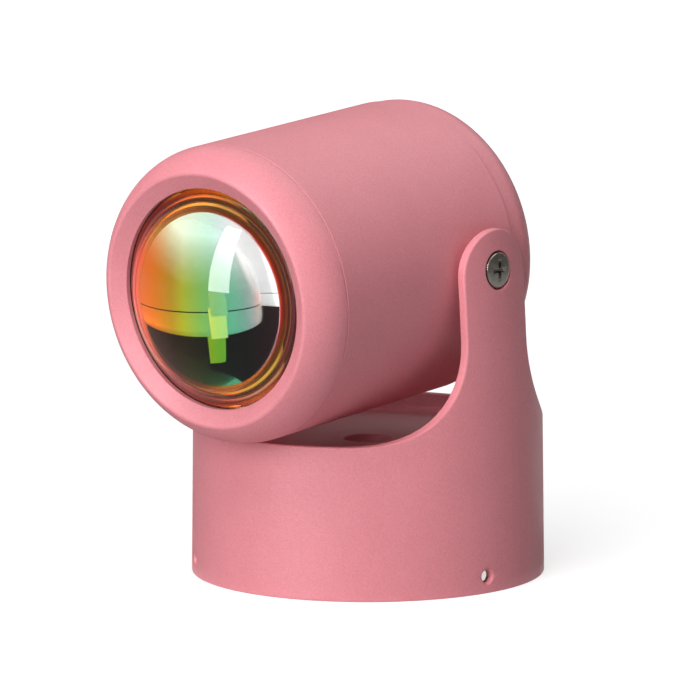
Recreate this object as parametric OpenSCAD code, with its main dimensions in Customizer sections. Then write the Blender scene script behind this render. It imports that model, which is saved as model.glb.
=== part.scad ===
// Small projection lamp: a round head with a domed lens, hung by two screws between the ears of a
// round cast base. Millimetres, +Z up, origin on the table at the centre of the base.
// The head is modelled along its own lens axis (local +Z forward, +Y up, origin on the tilt axis)
// and then tipped into place, so every head size is measured along the lens axis.
// The barrel's diameter drives the head, and the stack of washer, ear and screw head beside it
// gives the width of the base.

/* [Head shell] */
// Outside diameter of the barrel
barrel_d = 66.7; // [62:0.1:72]
// Wall of the barrel in front of the heat sink
barrel_wall = 2; // [1.5:0.1:2.5]
// Wall of the barrel round the tilt axis
barrel_rear_wall = 3.15; // [2.8:0.05:3.6]
// Diameter of the bosses inside the barrel that the pivot screws pass through
pivot_boss_d = 11; // [10:0.5:11.8]
// Distance from the tilt axis forward to the bezel seam
seam_front = 46.65; // [42:0.05:56]
// Distance from the tilt axis back to the rear cap seam
seam_rear = 11.5; // [11:0.25:14]
// Distance from the tilt axis forward to the shoulder that the heat sink sits on
shoulder = 6; // [5.8:0.1:8]
// Radius of the bullnose round the front of the bezel
nose_r = 11.2; // [10:0.1:12]
// How far the rim of the inner cone lies inside the barrel's outside
face_w = 5.05; // [4.5:0.05:6]
// Radius of the soft edge between the bullnose and the inner cone
lip_round = 1; // [0.4:0.1:1.4]
// Width of the inner cone, from its rim to the lens opening
cone_w = 3.6; // [3:0.1:4.2]
// Depth of the inner cone
cone_depth = 2.2; // [1.6:0.1:2.8]
// Thickness of the lip that holds the lens
lip_t = 1.2; // [1:0.1:1.6]
// Length of the bezel's spigot inside the barrel
spigot_len = 5; // [4:0.5:6]
// Length of the rear cap's spigot inside the barrel
cap_spigot_len = 4; // [3:0.5:5]
// Length of the rear cap behind its seam
cap_len = 10; // [9.5:0.25:12]
// Rounding of the rear cap
cap_round = 6.3; // [4:0.1:7]
// How far the rear cap steps in from the barrel, on the radius
cap_step = 0.35; // [0:0.05:0.6]
// Wall of the rear cap
cap_wall = 2; // [1.6:0.1:2.4]
// Small bevel on the seams
seam_bevel = 0.25; // [0.1:0.05:0.4]

/* [Tilt joint] */
// Tilt of the lens axis below level
head_tilt = 4.2; // [0:0.2:5]
// Gap between the level barrel and the rim of the base
head_gap = 3.95; // [3.6:0.05:6]
// Shank diameter of the pivot screws
screw_d = 4; // [3:0.5:4]
// Diameter of the pivot screw's head
screw_head_d = 8; // [7:0.1:8.4]
// Height of the pivot screw's head
screw_head_h = 2.3; // [2:0.1:2.6]
// Length of the pivot screw under its head
screw_len = 14; // [13:0.5:15]
// How far the pivot screw stands out of its nut
nut_proud = 0.6; // [0.3:0.1:1]
// Thickness of the friction washers
washer_t = 1.1; // [0.8:0.1:1.5]
// Diameter of the friction washers
washer_d = 12; // [10:0.5:12.4]
// Depth of the flat cut in the barrel for each washer
spot_depth = 0.65; // [0.6:0.05:0.9]
// Running clearance of the screw in the ear, on the radius
run_gap = 0.05; // [0.02:0.01:0.09]

/* [Ears] */
// Width of each ear
ear_w = 21; // [18:0.5:24]
// How far the centre of the ear's round end lies below the tilt axis
ear_round_drop = 1.3; // [0:0.1:2]
// Radius of the sweep from the ear down to the rim
ear_sweep = 22; // [18:0.5:24]
// How far the outside leans in from the foot of the base to the tilt axis
ear_lean = 2.05; // [1.7:0.05:2.4]
// Thickness of the ear under the pivot screw's head
lug_t = 1.6; // [1.4:0.1:2.2]
// Diameter of the boss inside each ear
ear_boss_d = 14; // [13:0.5:16]
// Gap round the pivot screw's head in its recess
recess_gap = 0.4; // [0.3:0.05:0.7]
// How far the crown of the pivot screw's head lies below the ear's face
screw_sink = 0.15; // [0:0.05:0.3]

/* [Base] */
// Wall of the base and of its ears
base_wall = 2; // [1.6:0.1:2.4]
// How much the outside radius draws in from the table to the rim
base_draft = 0.4; // [0:0.1:0.8]
// Height of the front and rear rim
rim_h = 34.5; // [30:0.5:42]
// How far the rim stands above the deck
deck_drop = 4.5; // [3.5:0.25:8]
// Thickness of the deck
deck_t = 2; // [1.5:0.25:3]
// Fillet between the deck and the wall
deck_fillet = 1.5; // [0.5:0.25:2]
// Hole in the middle of the deck
deck_hole_d = 10.8; // [8:0.2:14]

/* [Skirt screw holes] */
// Number of holes round the skirt
skirt_holes = 3; // [3:1:4]
// Diameter of each hole
skirt_hole_d = 2.8; // [2.4:0.1:3.2]
// Width of the countersink round each hole
skirt_sink_w = 0.5; // [0.3:0.1:0.8]
// Height of the holes above the table
skirt_hole_h = 3.8; // [3.4:0.1:6]
// Angle of the first hole from the tilt axis
skirt_hole_angle = -8.4; // [-30:0.2:30]

/* [Optics] */
// Radius of curvature of the lens dome
dome_r = 33; // [30:0.5:40]
// Gap between the dome and the lip
dome_gap = 0.2; // [0.1:0.05:0.4]
// Width of the lens flange round the dome
flange_w = 2.8; // [2.2:0.1:2.9]
// Thickness of the lens flange
flange_t = 1.95; // [1.5:0.05:2.5]
// Thickness of the lens gasket
gasket_t = 0.5; // [0.4:0.1:0.8]
// How far the colour filter's edge lies inside the flange's edge
filter_inset = 10.1; // [9:0.1:12]
// Thickness of the colour filter disc
filter_t = 1.1; // [0.8:0.1:1.5]
// Thickness of the ring that holds the filter behind the lens
holder_t = 3; // [2.6:0.1:3.4]
// Distance between the grooves turned in that ring
groove_pitch = 2; // [1.5:0.1:2.2]
// Width of those grooves
groove_w = 0.7; // [0.4:0.1:1]
// Thickness of the threaded retaining ring
retainer_t = 2.2; // [1.8:0.1:2.6]
// Wall of the light tube
tube_wall = 1.3; // [1:0.1:2]
// Thickness of the light tube's foot
tube_foot_t = 2; // [1.5:0.1:2.5]
// Radius of the collector lens
collector_r = 8; // [7:0.5:9]

/* [Light source] */
// Thickness of the heat sink plate
sink_t = 4; // [3:0.5:5]
// Length of the cooling fins and plate
fin_len = 13; // [11:0.5:14]
// Distance between cooling fins
fin_pitch = 3.6; // [3:0.1:4]
// Thickness of a cooling fin
fin_t = 1.2; // [0.8:0.1:1.6]
// Length of the posts that take the rear cap screws
post_len = 15; // [13.5:0.5:16]
// Radius of those posts
post_r = 3.5; // [3:0.1:4]
// Radius of the lamp board
board_r = 13; // [12:0.5:14]
// Thickness of the lamp board
board_t = 1.6; // [1:0.1:2]
// Side of the square light emitter
chip_w = 9.5; // [7:0.5:11]
// Thickness of the light emitter
chip_t = 0.9; // [0.6:0.1:1.2]

/* [Rear fittings] */
// How far the rear cap screws stand inside the cap's outside
cap_screw_inset = 11; // [10:0.5:12]
// Diameter of the rear cap screws
cap_screw_d = 3; // [2.5:0.5:3]
// Head diameter of the rear cap screws
cap_screw_head_d = 5.5; // [5:0.1:5.8]
// Length of the rear cap screws under the head
cap_screw_len = 20; // [18:1:22]
// Bore of the cord gland
gland_bore_d = 3.6; // [3:0.1:5]
// Wall of the cord gland's threaded part
gland_wall = 2.2; // [1.8:0.1:3]
// How far the gland stands out behind the cap
gland_out = 8; // [6:0.5:9]
// How far the driver board's middle lies inside the cap's outside
driver_inset = 16; // [15.5:0.5:18]
// Width of the driver board
driver_w = 24; // [22:0.5:26]
// Height of the driver board
driver_h = 13; // [12:0.5:14]

/* [Hidden] */
$fn = 96;

// Colours as photographed
pink = [0.90, 0.55, 0.60];
steel = [0.72, 0.72, 0.70];
black = [0.12, 0.12, 0.13];

// Working clearances and overlaps
seat_gap = 0.05;      // between pieces that seat on each other's sides
face_gap = 0.05;      // between flat faces that turn on each other
thread_gap = 0.03;    // screws in their tapped holes, on the radius
loose_gap = 0.2;      // screws in their plain holes, on the radius
drill_gap = 1;        // depth of a tapped hole beyond its screw
cut = 1;              // how far a cutter runs past the face it opens
bury = 0.5;           // how far shapes that are one piece reach into each other

// Head, along the lens axis
barrel_r = barrel_d / 2;
front_bore_r = barrel_r - barrel_wall;
rear_bore_r = barrel_r - barrel_rear_wall;
nose_c = barrel_r - nose_r;
cone_r = barrel_r - face_w;
opening_r = cone_r - cone_w;
cone_front = seam_front + sqrt(pow(nose_r, 2) - pow(cone_r - nose_c, 2));
lip_front = cone_front - cone_depth;
lip_back = lip_front - lip_t;
cap_r = barrel_r - cap_step;
cap_back = -seam_rear - cap_len;
cap_inside = cap_back + cap_wall;
cap_spigot_r = rear_bore_r - seat_gap;

// Tilt joint, outwards from the barrel along X, up to the outside of the base
screw_r = screw_d / 2;
nut_t = 0.8 * screw_d;
nut_across = 1.75 * screw_d;
spring_t = 0.2 * screw_d;
spring_r = 0.9 * screw_d;
spot_x = barrel_r - spot_depth;
spot_d = 2 * sqrt(pow(barrel_r, 2) - pow(spot_x, 2));
ear_boss_x = spot_x + washer_t + face_gap;
recess_x = ear_boss_x + lug_t;
recess_depth = face_gap + screw_head_h + screw_sink;
recess_d = screw_head_d + 2 * recess_gap;
ear_face_x = recess_x + recess_depth;
screw_seat_x = recess_x + face_gap;
screw_tip_x = screw_seat_x - screw_len;
spring_x = screw_tip_x + nut_proud + nut_t;
barrel_boss_x = spring_x + spring_t;

// Base
base_r = ear_face_x + ear_lean;
skirt_r = base_r - base_wall;
deck_h = rim_h - deck_drop;
pivot_h = rim_h + head_gap + barrel_r;
ear_r = ear_w / 2;
ear_round_h = pivot_h - ear_round_drop;
ear_top = ear_round_h + ear_r;
ear_bend = ear_lean - base_draft * pivot_h / rim_h;
// Outside radius of the base and ears at height z: a straight draft, then the ears bend inwards
function shell_r(z) = base_r - base_draft * z / rim_h
    - ear_bend * pow(max(0, z - rim_h) / (pivot_h - rim_h), 2);

// Lens stack, from the lip backwards
dome_edge_r = opening_r - dome_gap;
dome_c = lip_back - sqrt(pow(dome_r, 2) - pow(dome_edge_r, 2));
flange_r = dome_edge_r + flange_w;
flange_front = lip_back - gasket_t;
lens_back = flange_front - flange_t;
seat_r = flange_r + seat_gap;
filter_r = flange_r - filter_inset;
filter_lap = 1;
holder_back = lens_back - holder_t;
retainer_back = holder_back - retainer_t;
slot_w = 2;
slot_depth = 1;

// Light tube and what stands inside it, from the heat sink forwards
sink_front = shoulder + sink_t;
board_front = sink_front + board_t;
emitter_front = board_front + chip_t;
tube_r = opening_r - 2 * dome_gap;
tube_foot_gap = 0.95;
tube_foot_r = front_bore_r - tube_foot_gap;
tube_front = retainer_back - seat_gap;
web_clear = 1.6;
web_back = emitter_front + web_clear;
web_t = 1.5;
collector_flange_w = 1.5;
collector_flange_t = 1.5;
collector_bulge = 3;
tube_screw_circle = (tube_r + tube_foot_r) / 2;
tube_screw_angles = [90, 210, 330];
tube_screw_d = 2.5;
tube_screw_head_d = 4.6;
tube_screw_head_h = 1.6;
tube_screw_len = 5;

// Heat sink: as many fins as fit between the tips of the pivot screws
fin_clear = 1.5;
fin_rim_gap = 6;
fin_back = shoulder - fin_len;
fins_each_side = floor((screw_tip_x - fin_clear - fin_t / 2) / fin_pitch);
post_back = shoulder - post_len;

// Rear cap screws and their bosses
cap_screw_circle = cap_r - cap_screw_inset;
cap_screw_angles = [30, 150, 270];
cap_screw_head_h = 1.8;
cap_screw_sink = 0.1;
cap_recess_gap = 0.3;
cap_recess_depth = cap_screw_head_h + cap_screw_sink;
cap_seat = cap_back + cap_recess_depth;
cap_boss_r = 4.5;
cap_boss_len = 3.5;
cap_boss_front = cap_inside + cap_boss_len;

// Small screws of the two boards
board_screw_d = 2;
board_screw_head_d = 3.8;
board_screw_head_h = 1.3;
board_screw_len = 4;
lamp_screw_inset = 2.6;
lamp_screw_x = board_r - lamp_screw_inset;

// Driver board on its two bosses, and the leads that run forward from it between two fins
driver_t = 1.4;
driver_y = cap_r - driver_inset;
driver_back = cap_boss_front + seat_gap;
driver_front = driver_back + driver_t;
driver_boss_r = 2.2;
driver_screw_inset = 2.5;
driver_screw_x = driver_w / 2 - driver_screw_inset;
lead_r = 0.6;
lead_bend = 1;
lead_hole_gap = 0.3;
lead_x = fin_pitch / 2;
lead_run = 4;

// Cord gland and its nut
gland_thread_r = gland_bore_d / 2 + gland_wall;
gland_hole_gap = 0.1;
gland_flange_w = 2.2;
gland_flange_t = 2.5;
gland_tip_wall = 1.1;
gland_cone_step = 1.6;
gland_nut_t = 2.5;
gland_nut_w = 1.5;
gland_proud = 1;

// Shared shapes

// Turns head coordinates into the standing frame
module on_head() {
    translate([0, 0, pivot_h])
        rotate([head_tilt + 90, 0, 0])
            children();
}

// Places children on both ends of the tilt axis, with local +Z pointing out of the head
module on_both_ends() {
    for (side = [0, 180])
        rotate([0, 0, side])
            rotate([0, 90, 0])
                children();
}

// Places children at radius r and at each of the angles round the local Z axis
module round_about(r, angles) {
    for (a = angles)
        rotate([0, 0, a])
            translate([r, 0, 0])
                children();
}

// A plain ring from z0 to z1
module ring(r_out, r_in, z0, z1) {
    translate([0, 0, z0])
        difference() {
            cylinder(r = r_out, h = z1 - z0);
            translate([0, 0, -cut])
                cylinder(r = r_in, h = z1 - z0 + 2 * cut);
        }
}

// A six-sided nut by its size across flats
module nut(across, thickness, bore_r) {
    difference() {
        cylinder(r = across / 2 / cos(30), h = thickness, $fn = 6);
        translate([0, 0, -cut])
            cylinder(r = bore_r, h = thickness + 2 * cut);
    }
}

// A cross recess cut down from z = 0: two slots over a tapered middle
module cross_recess(reach, depth) {
    slot = 0.38 * reach;
    for (turn = [0, 90])
        rotate([0, 0, turn])
            translate([-reach, -slot / 2, -depth])
                cube([2 * reach, slot, depth + cut]);
    translate([0, 0, -depth])
        cylinder(r1 = 0.3 * reach, r2 = 0.55 * reach, h = depth);
}

// A pan-headed cross-recess screw: head underside at z = 0, shank down to -len
module pan_screw(d, head_d, head_h, len) {
    crown = 0.45 * head_h;
    crown_r = (pow(head_d / 2, 2) + pow(crown, 2)) / (2 * crown);
    difference() {
        union() {
            translate([0, 0, -len])
                cylinder(r = d / 2, h = len + head_h / 4);
            cylinder(r = head_d / 2, h = head_h - crown);
            intersection() {
                translate([0, 0, head_h - crown_r])
                    sphere(r = crown_r);
                translate([0, 0, head_h - crown])
                    cylinder(r = head_d / 2, h = 2 * crown);
            }
        }
        translate([0, 0, head_h])
            cross_recess(0.27 * head_d, 0.55 * head_h);
    }
}

// A small bevel on an outside corner at [r, z] of a half section
module seam_corner(r, z) {
    translate([r, z])
        rotate(45)
            square(seam_bevel * sqrt(2), center = true);
}

// Base

// Half section of the wall, deck and skirt, ready to be turned about Z
module shell_section() {
    ear_steps = 5;
    heights = concat([rim_h], [for (i = [1 : ear_steps]) rim_h + (pivot_h - rim_h) * i / ear_steps],
        [ear_top + cut]);
    outer = concat([[base_r, 0]], [for (z = heights) [shell_r(z), z]]);
    inner = [for (i = [len(heights) - 1 : -1 : 0]) [shell_r(heights[i]) - base_wall, heights[i]]];
    wall_r = shell_r(rim_h) - base_wall;
    polygon(concat(outer, inner, [[wall_r, deck_h], [deck_hole_d / 2, deck_h],
        [deck_hole_d / 2, deck_h - deck_t], [skirt_r, deck_h - deck_t], [skirt_r, 0]]));
    difference() {
        translate([wall_r - deck_fillet, deck_h - deck_t / 2])
            square([deck_fillet + base_wall / 2, deck_fillet + deck_t / 2]);
        translate([wall_r - deck_fillet, deck_h + deck_fillet])
            circle(r = deck_fillet);
    }
}

// Side view of the base in the YZ plane: rim, ears and the sweeps between them
module side_outline() {
    reach = base_r + cut;
    translate([-reach, -cut])
        square([2 * reach, rim_h + cut]);
    translate([-ear_r, 0])
        square([ear_w, ear_round_h]);
    translate([0, ear_round_h])
        circle(r = ear_r);
    for (side = [-1, 1])
        scale([side, 1])
            difference() {
                translate([ear_r - bury, rim_h - bury])
                    square(ear_sweep + bury);
                translate([ear_r + ear_sweep, rim_h + ear_sweep])
                    circle(r = ear_sweep);
            }
}

module base_shell() {
    color(pink)
        difference() {
            union() {
                intersection() {
                    rotate_extrude($fn = 180)
                        shell_section();
                    rotate([90, 0, 90])
                        translate([0, 0, -base_r - cut])
                            linear_extrude(height = 2 * (base_r + cut))
                                side_outline();
                }
                translate([0, 0, pivot_h])
                    on_both_ends()
                        translate([0, 0, ear_boss_x])
                            cylinder(d = ear_boss_d, h = ear_face_x - base_wall / 2 - ear_boss_x);
            }
            translate([0, 0, pivot_h])
                on_both_ends() {
                    translate([0, 0, ear_boss_x - cut])
                        cylinder(r = screw_r + run_gap, h = lug_t + 2 * cut);
                    translate([0, 0, recess_x])
                        cylinder(d = recess_d, h = recess_depth + cut);
                }
            translate([0, 0, skirt_hole_h])
                for (i = [0 : skirt_holes - 1])
                    rotate([0, 0, skirt_hole_angle + i * 360 / skirt_holes])
                        rotate([0, 90, 0]) {
                            translate([0, 0, skirt_r - cut])
                                cylinder(d = skirt_hole_d, h = base_wall + 2 * cut);
                            translate([0, 0, base_r - skirt_sink_w])
                                cylinder(r1 = skirt_hole_d / 2, r2 = skirt_hole_d / 2 + skirt_sink_w + cut,
                                    h = skirt_sink_w + cut);
                        }
        }
}

// Head shell

module head_barrel() {
    color(pink)
        on_head()
            difference() {
                union() {
                    rotate_extrude($fn = 180)
                        polygon([[barrel_r - seam_bevel, seam_front], [barrel_r, seam_front - seam_bevel],
                            [barrel_r, seam_bevel - seam_rear], [barrel_r - seam_bevel, -seam_rear],
                            [rear_bore_r, -seam_rear], [rear_bore_r, shoulder],
                            [front_bore_r, shoulder], [front_bore_r, seam_front]]);
                    on_both_ends()
                        translate([0, 0, barrel_boss_x])
                            cylinder(d = pivot_boss_d, h = rear_bore_r + bury - barrel_boss_x);
                }
                on_both_ends() {
                    translate([0, 0, spot_x])
                        cylinder(d = spot_d, h = spot_depth + cut);
                    translate([0, 0, barrel_boss_x - cut])
                        cylinder(r = screw_r + thread_gap, h = barrel_r);
                }
            }
}

// The soft edge that rolls the bullnose into the inner cone is a circle that touches both: its
// centre lies lip_round inside the cone's line and nose_r - lip_round from the bullnose's centre
cone_dir = [cone_w, cone_depth] / norm([cone_w, cone_depth]);
cone_in = [cone_dir[1], -cone_dir[0]];
nose_centre = [nose_c, seam_front];
edge_line = [opening_r, lip_front] - nose_centre + lip_round * cone_in;
edge_along = sqrt(pow(edge_line * cone_dir, 2) - edge_line * edge_line + pow(nose_r - lip_round, 2))
    - edge_line * cone_dir;
edge_c = nose_centre + edge_line + edge_along * cone_dir;
edge_out = (edge_c - nose_centre) / norm(edge_c - nose_centre);

module bezel_section() {
    difference() {
        union() {
            intersection() {
                translate(nose_centre)
                    circle(r = nose_r, $fn = 180);
                translate([opening_r, seam_front])
                    square([barrel_r - opening_r, nose_r]);
            }
            translate([seat_r, seam_front - spigot_len])
                square([front_bore_r - seat_gap - seat_r, spigot_len + bury]);
        }
        polygon([[opening_r, lip_front] - cut * cone_dir, edge_c - lip_round * cone_in, edge_c,
            edge_c + nose_r * edge_out, [opening_r - cut, seam_front + 2 * nose_r]]);
        translate([0, seam_front - spigot_len - cut])
            square([seat_r, lip_back - seam_front + spigot_len + cut]);
        seam_corner(barrel_r, seam_front);
    }
    translate(edge_c)
        circle(r = lip_round);
}

module front_bezel() {
    color(pink)
        on_head()
            rotate_extrude($fn = 180)
                bezel_section();
}

// Half outline of a cup from z0 to z1, with its closed end rounded at z0
module cup_section(r, rounding, z0, z1) {
    translate([0, z0])
        square([r - rounding, z1 - z0]);
    translate([0, z0 + rounding])
        square([r, z1 - z0 - rounding]);
    intersection() {
        translate([r - rounding, z0 + rounding])
            circle(r = rounding);
        translate([0, z0])
            square([r, z1 - z0]);
    }
}

module rear_cap_section() {
    difference() {
        union() {
            cup_section(cap_r, cap_round, cap_back, -seam_rear);
            translate([0, -seam_rear - bury])
                square([cap_spigot_r, cap_spigot_len + bury]);
        }
        cup_section(cap_spigot_r - cap_wall, cap_round - cap_wall, cap_inside,
            cap_spigot_len - seam_rear + cut);
        translate([0, cap_back - cut])
            square([gland_thread_r + gland_hole_gap, cap_wall + 2 * cut]);
        seam_corner(cap_r, -seam_rear);
    }
}

module rear_cap() {
    color(pink)
        on_head()
            difference() {
                union() {
                    rotate_extrude($fn = 180)
                        rear_cap_section();
                    translate([0, 0, cap_inside - bury]) {
                        round_about(cap_screw_circle, cap_screw_angles)
                            cylinder(r = cap_boss_r, h = cap_boss_len + bury);
                        for (side = [-1, 1])
                            translate([side * driver_screw_x, driver_y, 0])
                                cylinder(r = driver_boss_r, h = driver_back - cap_inside + bury);
                    }
                }
                translate([0, 0, cap_seat])
                    round_about(cap_screw_circle, cap_screw_angles) {
                        translate([0, 0, -cap_recess_depth - cut])
                            cylinder(r = cap_screw_head_d / 2 + cap_recess_gap, h = cap_recess_depth + cut);
                        cylinder(r = cap_screw_d / 2 + loose_gap, h = cap_boss_front - cap_seat + cut);
                    }
                for (side = [-1, 1])
                    translate([side * driver_screw_x, driver_y, cap_inside])
                        cylinder(r = board_screw_d / 2 + thread_gap, h = driver_back - cap_inside + cut);
            }
}

// Optics

module projection_lens() {
    color([0.95, 0.75, 0.45, 0.5])
        on_head() {
            translate([0, 0, lens_back])
                cylinder(r = flange_r, h = flange_t);
            translate([0, 0, lens_back])
                cylinder(r = dome_edge_r, h = lip_back - lens_back);
            intersection() {
                translate([0, 0, dome_c])
                    sphere(r = dome_r, $fn = 180);
                translate([0, 0, lip_back])
                    cylinder(r = dome_edge_r, h = dome_r);
            }
        }
}

module lens_gasket() {
    color(black)
        on_head()
            ring(flange_r, opening_r + seat_gap, flange_front, lip_back);
}

module colour_filter() {
    color([0.95, 0.55, 0.15])
        on_head()
            translate([0, 0, lens_back - seat_gap - filter_t])
                cylinder(r = filter_r, h = filter_t);
}

// The ring that holds the filter, with grooves turned in the face that shows through the lens
module filter_holder() {
    color([0.80, 0.35, 0.15])
        on_head()
            difference() {
                ring(flange_r, filter_r - filter_lap, holder_back, lens_back);
                translate([0, 0, lens_back - filter_t - 2 * seat_gap])
                    cylinder(r = filter_r + seat_gap, h = filter_t + 2 * seat_gap + cut);
                for (i = [1 : 3])
                    rotate_extrude()
                        translate([filter_r + i * groove_pitch, lens_back])
                            rotate(45)
                                square(groove_w / sqrt(2), center = true);
            }
}

// The threaded ring that presses the stack against the lip, with two slots for a spanner
module retaining_ring() {
    color(black)
        on_head()
            difference() {
                ring(flange_r, tube_r - tube_wall - cut, retainer_back, holder_back);
                round_about(tube_r + slot_depth, [0, 180])
                    translate([0, -slot_w / 2, retainer_back - cut])
                        cube([flange_r, slot_w, slot_depth + cut]);
            }
}

module light_tube() {
    color(black)
        on_head()
            difference() {
                union() {
                    ring(tube_r, tube_r - tube_wall, sink_front, tube_front);
                    ring(tube_foot_r, tube_r - tube_wall, sink_front, sink_front + tube_foot_t);
                    ring(tube_r - tube_wall / 2, collector_r + loose_gap, web_back, web_back + web_t);
                }
                translate([0, 0, sink_front - cut])
                    round_about(tube_screw_circle, tube_screw_angles)
                        cylinder(r = tube_screw_d / 2 + loose_gap, h = tube_foot_t + 2 * cut);
            }
}

module light_tube_screws() {
    color(steel)
        on_head()
            translate([0, 0, sink_front + tube_foot_t])
                round_about(tube_screw_circle, tube_screw_angles)
                    pan_screw(tube_screw_d, tube_screw_head_d, tube_screw_head_h, tube_screw_len);
}

// A thick plano-convex lens that hangs by its flange in the web of the light tube
module collector_lens() {
    seat = web_back + web_t;
    top = seat + collector_flange_t;
    color([0.9, 0.95, 1, 0.5])
        on_head() {
            translate([0, 0, web_back])
                cylinder(r = collector_r, h = top - web_back);
            translate([0, 0, seat])
                cylinder(r = collector_r + collector_flange_w, h = collector_flange_t);
            intersection() {
                translate([0, 0, top - collector_bulge])
                    sphere(r = norm([collector_r, collector_bulge]));
                translate([0, 0, top - bury])
                    cylinder(r = collector_r, h = 2 * collector_r);
            }
        }
}

// Light source

module light_emitter() {
    color([0.95, 0.85, 0.30])
        on_head()
            translate([0, 0, board_front]) {
                translate([-chip_w / 2, -chip_w / 2, 0])
                    cube([chip_w, chip_w, chip_t / 2]);
                cylinder(d = 0.85 * chip_w, h = chip_t);
            }
}

module lamp_board() {
    color([0.92, 0.92, 0.90])
        on_head()
            translate([0, 0, sink_front])
                difference() {
                    cylinder(r = board_r, h = board_t);
                    translate([0, 0, -cut])
                        round_about(lamp_screw_x, [0, 180])
                            cylinder(r = board_screw_d / 2 + loose_gap, h = board_t + 2 * cut);
                }
}

module lamp_board_screws() {
    color(steel)
        on_head()
            translate([0, 0, board_front])
                round_about(lamp_screw_x, [0, 180])
                    pan_screw(board_screw_d, board_screw_head_d, board_screw_head_h, board_screw_len);
}

module heat_sink() {
    color([0.62, 0.63, 0.64])
        on_head()
            difference() {
                union() {
                    translate([0, 0, shoulder])
                        cylinder(r = front_bore_r - seat_gap, h = sink_t);
                    intersection() {
                        for (i = [-fins_each_side : fins_each_side])
                            translate([i * fin_pitch - fin_t / 2, -barrel_r, fin_back])
                                cube([fin_t, barrel_d, fin_len + bury]);
                        translate([0, 0, fin_back])
                            cylinder(r = rear_bore_r - fin_rim_gap, h = fin_len + bury);
                    }
                    translate([0, 0, post_back])
                        round_about(cap_screw_circle, cap_screw_angles)
                            cylinder(r = post_r, h = post_len + bury);
                }
                translate([0, 0, post_back - cut])
                    round_about(cap_screw_circle, cap_screw_angles)
                        cylinder(r = cap_screw_d / 2 + thread_gap,
                            h = cap_seat + cap_screw_len + drill_gap - post_back + cut);
                translate([0, 0, sink_front - tube_screw_len + tube_foot_t - drill_gap / 2])
                    round_about(tube_screw_circle, tube_screw_angles)
                        cylinder(r = tube_screw_d / 2 + thread_gap, h = tube_screw_len + cut);
                translate([0, 0, board_front - board_screw_len - drill_gap / 2])
                    round_about(lamp_screw_x, [0, 180])
                        cylinder(r = board_screw_d / 2 + thread_gap, h = board_screw_len + cut);
                for (side = [-1, 1])
                    translate([side * lead_x, driver_y, shoulder - cut])
                        cylinder(r = lead_r + lead_hole_gap, h = sink_t + 2 * cut);
            }
}

// Two insulated wires from the driver board, between the fins and through the plate, to the lamp board
module lamp_leads() {
    top = board_front + lead_r + lead_bend;
    bend_y = driver_y - lead_bend;
    pad_y = bend_y - lead_run;
    for (side = [-1, 1])
        color(side < 0 ? [0.75, 0.10, 0.10] : black)
            on_head()
                translate([side * lead_x, 0, 0]) {
                    translate([0, driver_y, driver_front])
                        cylinder(r = lead_r, h = top - lead_bend - driver_front, $fn = 24);
                    translate([0, bend_y, top - lead_bend])
                        rotate([90, 0, 90])
                            rotate_extrude(angle = 90, $fn = 48)
                                translate([lead_bend, 0])
                                    circle(r = lead_r, $fn = 24);
                    translate([0, pad_y, top])
                        rotate([-90, 0, 0])
                            cylinder(r = lead_r, h = lead_run, $fn = 24);
                    translate([0, pad_y, board_front])
                        cylinder(r = lead_r, h = lead_r + lead_bend, $fn = 24);
                    translate([0, pad_y, top])
                        sphere(r = lead_r, $fn = 24);
                }
}

module driver_board() {
    color([0.10, 0.38, 0.22])
        on_head()
            translate([0, driver_y, driver_back])
                difference() {
                    translate([-driver_w / 2, -driver_h / 2, 0])
                        cube([driver_w, driver_h, driver_t]);
                    for (side = [-1, 1])
                        translate([side * driver_screw_x, 0, -cut])
                            cylinder(r = board_screw_d / 2 + loose_gap, h = driver_t + 2 * cut);
                }
}

// A coil, a capacitor and a regulator on the driver board, clear of its screws and its leads
module driver_parts() {
    coil_w = 5;
    coil_h = 3.5;
    capacitor_d = 5;
    capacitor_h = 5;
    regulator = [6, 2.8, 1.4];
    side_x = lead_x + 1.2;
    edge_gap = 0.5;
    low_y = edge_gap - driver_h / 2;
    on_head()
        translate([0, driver_y, driver_front]) {
            color([0.35, 0.34, 0.33])
                translate([-side_x - coil_w, low_y, 0])
                    cube([coil_w, coil_w, coil_h]);
            color([0.15, 0.15, 0.35])
                translate([side_x + capacitor_d / 2, low_y + capacitor_d / 2, 0])
                    cylinder(d = capacitor_d, h = capacitor_h);
            color(black)
                translate([-regulator[0] / 2, driver_h / 2 - edge_gap - regulator[1], 0])
                    cube(regulator);
        }
}

module driver_screws() {
    color(steel)
        on_head()
            for (side = [-1, 1])
                translate([side * driver_screw_x, driver_y, driver_front])
                    pan_screw(board_screw_d, board_screw_head_d, board_screw_head_h, board_screw_len);
}

// Rear fittings

module rear_cap_screws() {
    color(steel)
        on_head()
            translate([0, 0, cap_seat])
                round_about(cap_screw_circle, cap_screw_angles)
                    rotate([180, 0, 0])
                        pan_screw(cap_screw_d, cap_screw_head_d, cap_screw_head_h, cap_screw_len);
}

module cord_gland() {
    thread_len = cap_wall + gland_nut_t + gland_proud;
    color(black)
        on_head()
            difference() {
                union() {
                    translate([0, 0, cap_back - bury])
                        cylinder(r = gland_thread_r, h = thread_len + bury);
                    translate([0, 0, cap_back - gland_flange_t])
                        cylinder(r = gland_thread_r + gland_flange_w, h = gland_flange_t);
                    translate([0, 0, cap_back - gland_out])
                        cylinder(r1 = gland_bore_d / 2 + gland_tip_wall,
                            r2 = gland_thread_r + gland_flange_w - gland_cone_step,
                            h = gland_out - gland_flange_t);
                }
                translate([0, 0, cap_back - gland_out - cut])
                    cylinder(d = gland_bore_d, h = gland_out + thread_len + 2 * cut);
            }
}

module gland_nut() {
    color(steel)
        on_head()
            translate([0, 0, cap_inside])
                nut(2 * (gland_thread_r + gland_nut_w), gland_nut_t, gland_thread_r + thread_gap);
}

// Tilt joint, one of each on both ends of the axis

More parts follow.
